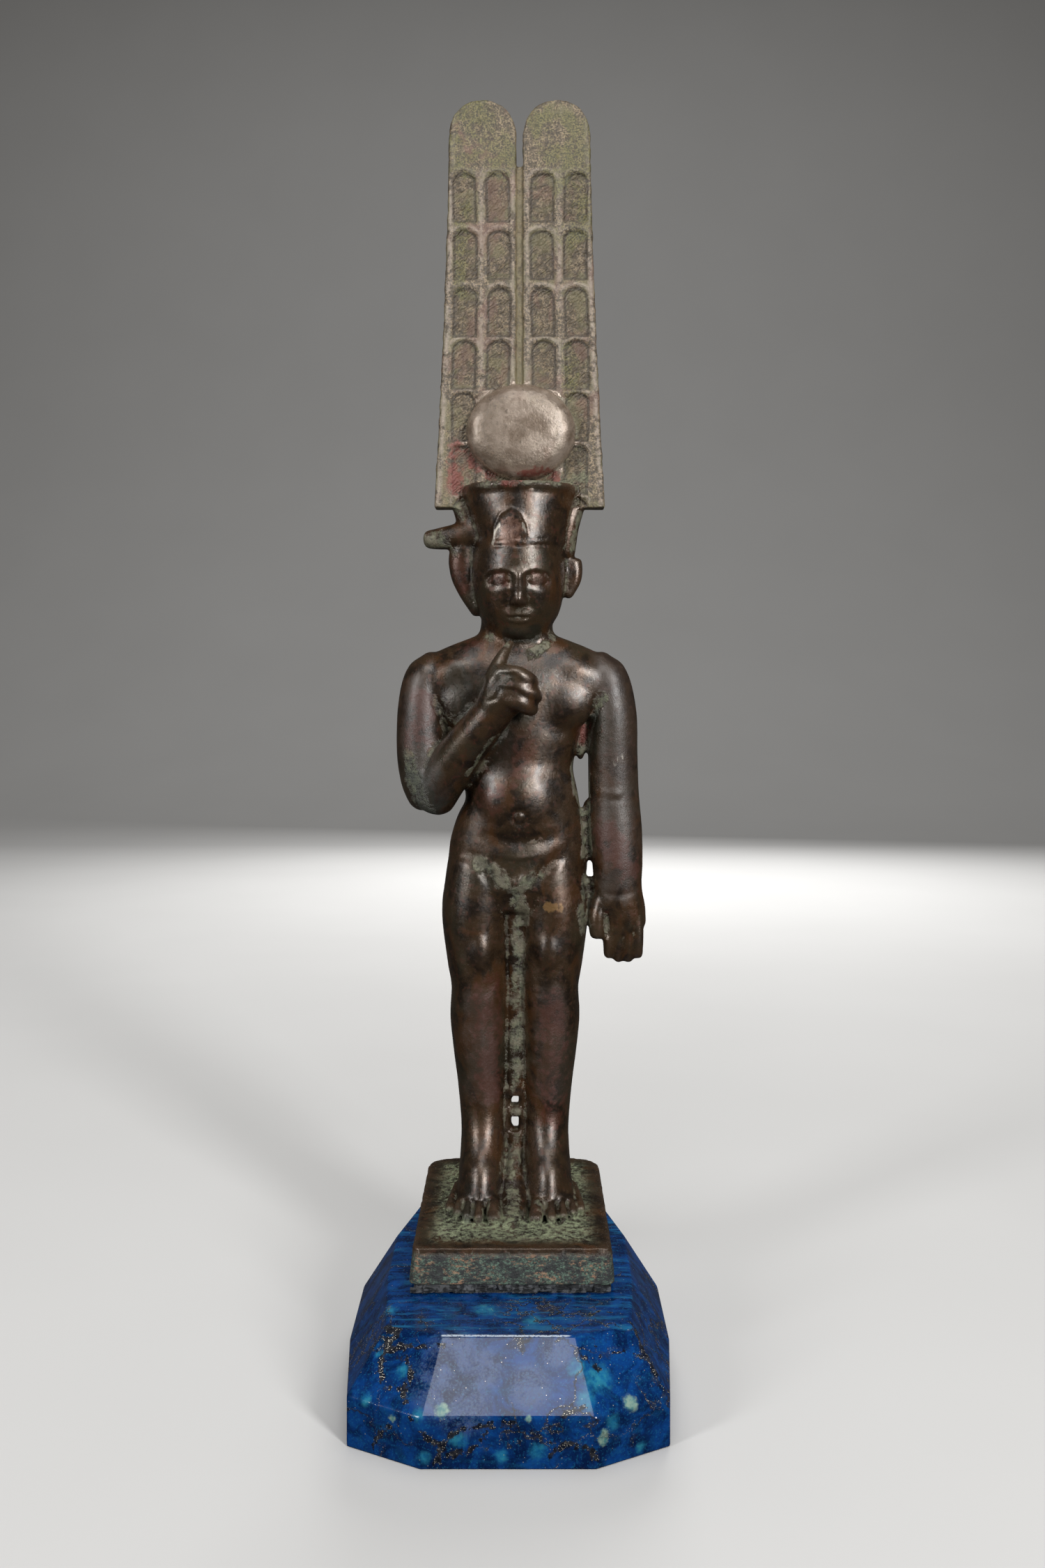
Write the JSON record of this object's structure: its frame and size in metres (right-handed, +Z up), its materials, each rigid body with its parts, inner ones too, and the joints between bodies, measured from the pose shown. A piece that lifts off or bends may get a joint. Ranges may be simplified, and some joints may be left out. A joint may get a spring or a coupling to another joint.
{
  "type": "harpocrates statue",
  "caption": "Small bronze figure of a standing child-god with a finger to the mouth and a tall feather crown, on a faceted blue stone plinth.",
  "frame": {"origin": "middle of the plinth's underside, where the part rests", "axes": "+Z up, the figure faces -Y, +X to the viewer's right"},
  "size_m": [0.0618, 0.0782, 0.2593],
  "materials": {
    "brown_bronze": "old brown bronze, worn and softly polished on raised forms, pale green in the hollows",
    "lapis_lazuli": "highly polished deep blue stone with turquoise clouds and dark pyrite veins",
    "dark_mastic": "dry dark bedding compound, rough and crumbly"
  },
  "bodies": {
    "root": {"bronze_statuette": "brown_bronze", "lapis_plinth": "lapis_lazuli", "mastic_bed": "dark_mastic"}
  },
  "joints": []
}
